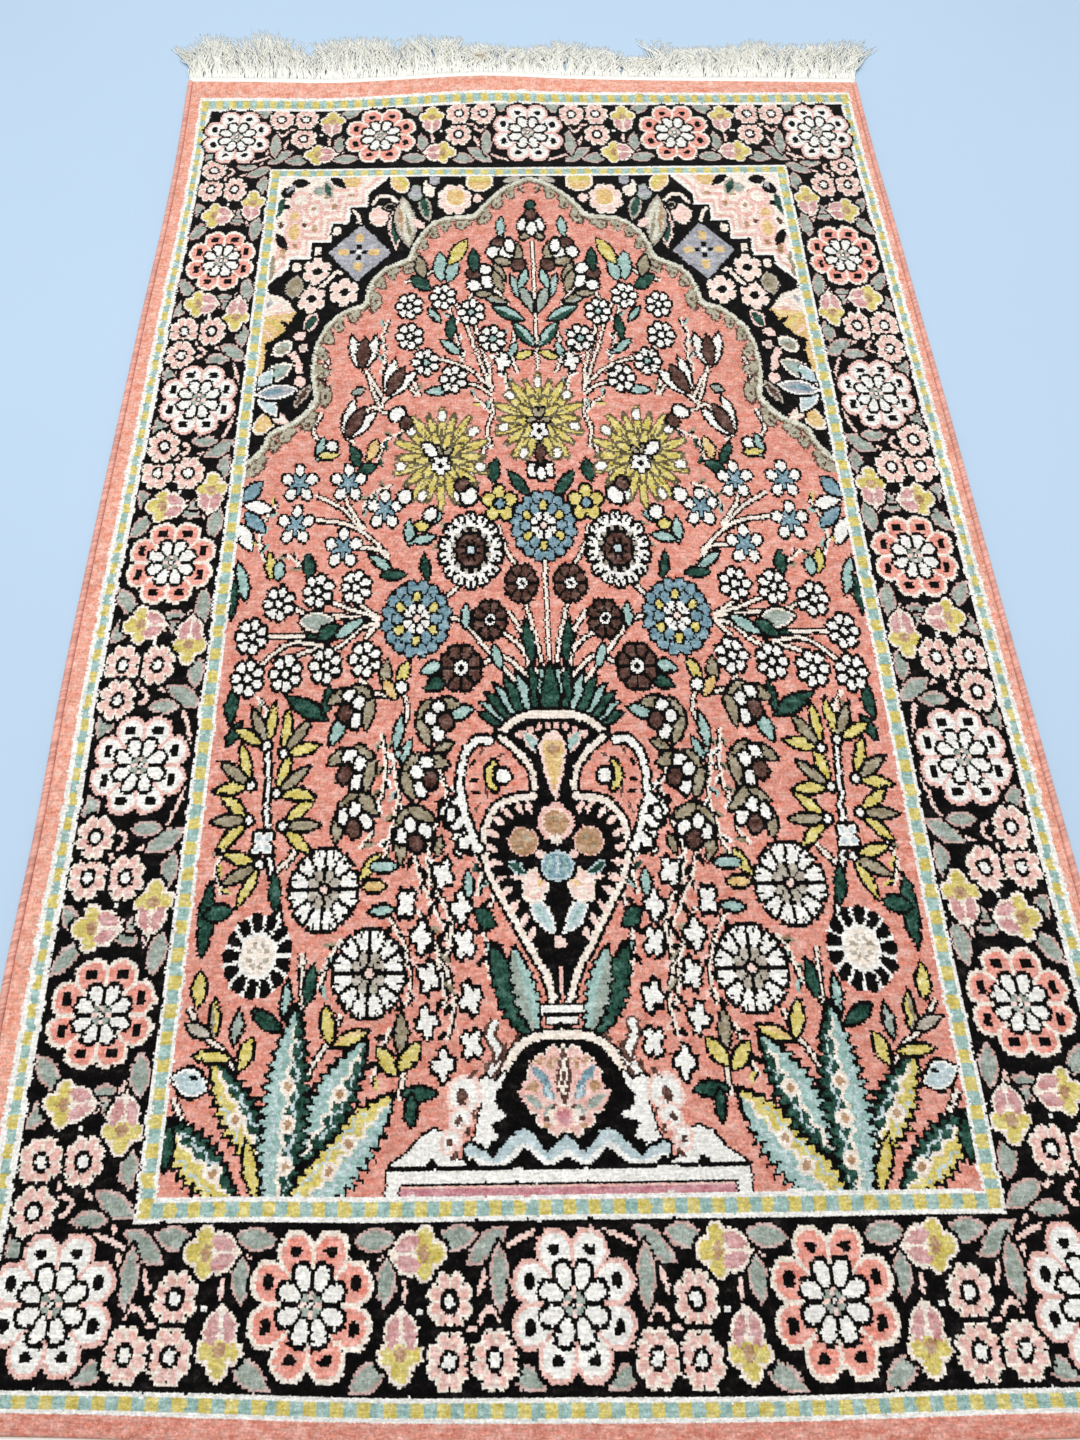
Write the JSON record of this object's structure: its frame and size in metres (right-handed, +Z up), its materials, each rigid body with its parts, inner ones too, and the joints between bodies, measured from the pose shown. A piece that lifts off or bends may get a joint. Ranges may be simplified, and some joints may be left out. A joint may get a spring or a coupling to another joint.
{
  "type": "silk rug",
  "caption": "Flat hand-knotted silk prayer rug with a vase-and-arch floral pattern, overcast side cords and loose fringe at both ends.",
  "frame": {"origin": "on the floor under the middle of the whole rug, fringe included", "axes": "+Y along the rug towards the arch's point and the far fringe, +X to the right seen from above with the arch away from the viewer, +Z up from the floor"},
  "size_m": [0.8078, 1.5178, 0.0056],
  "materials": {
    "silk_pile": "short cut silk pile with a soft sheen",
    "silk_cord": "overcast silk yarn, satin",
    "silk_warp": "loose undyed silk warp, soft lustre"
  },
  "bodies": {
    "root": {"pile": "silk_pile", "side_cord_left": "silk_cord", "side_cord_right": "silk_cord", "fringe_far": "silk_warp", "fringe_near": "silk_warp"}
  },
  "joints": []
}
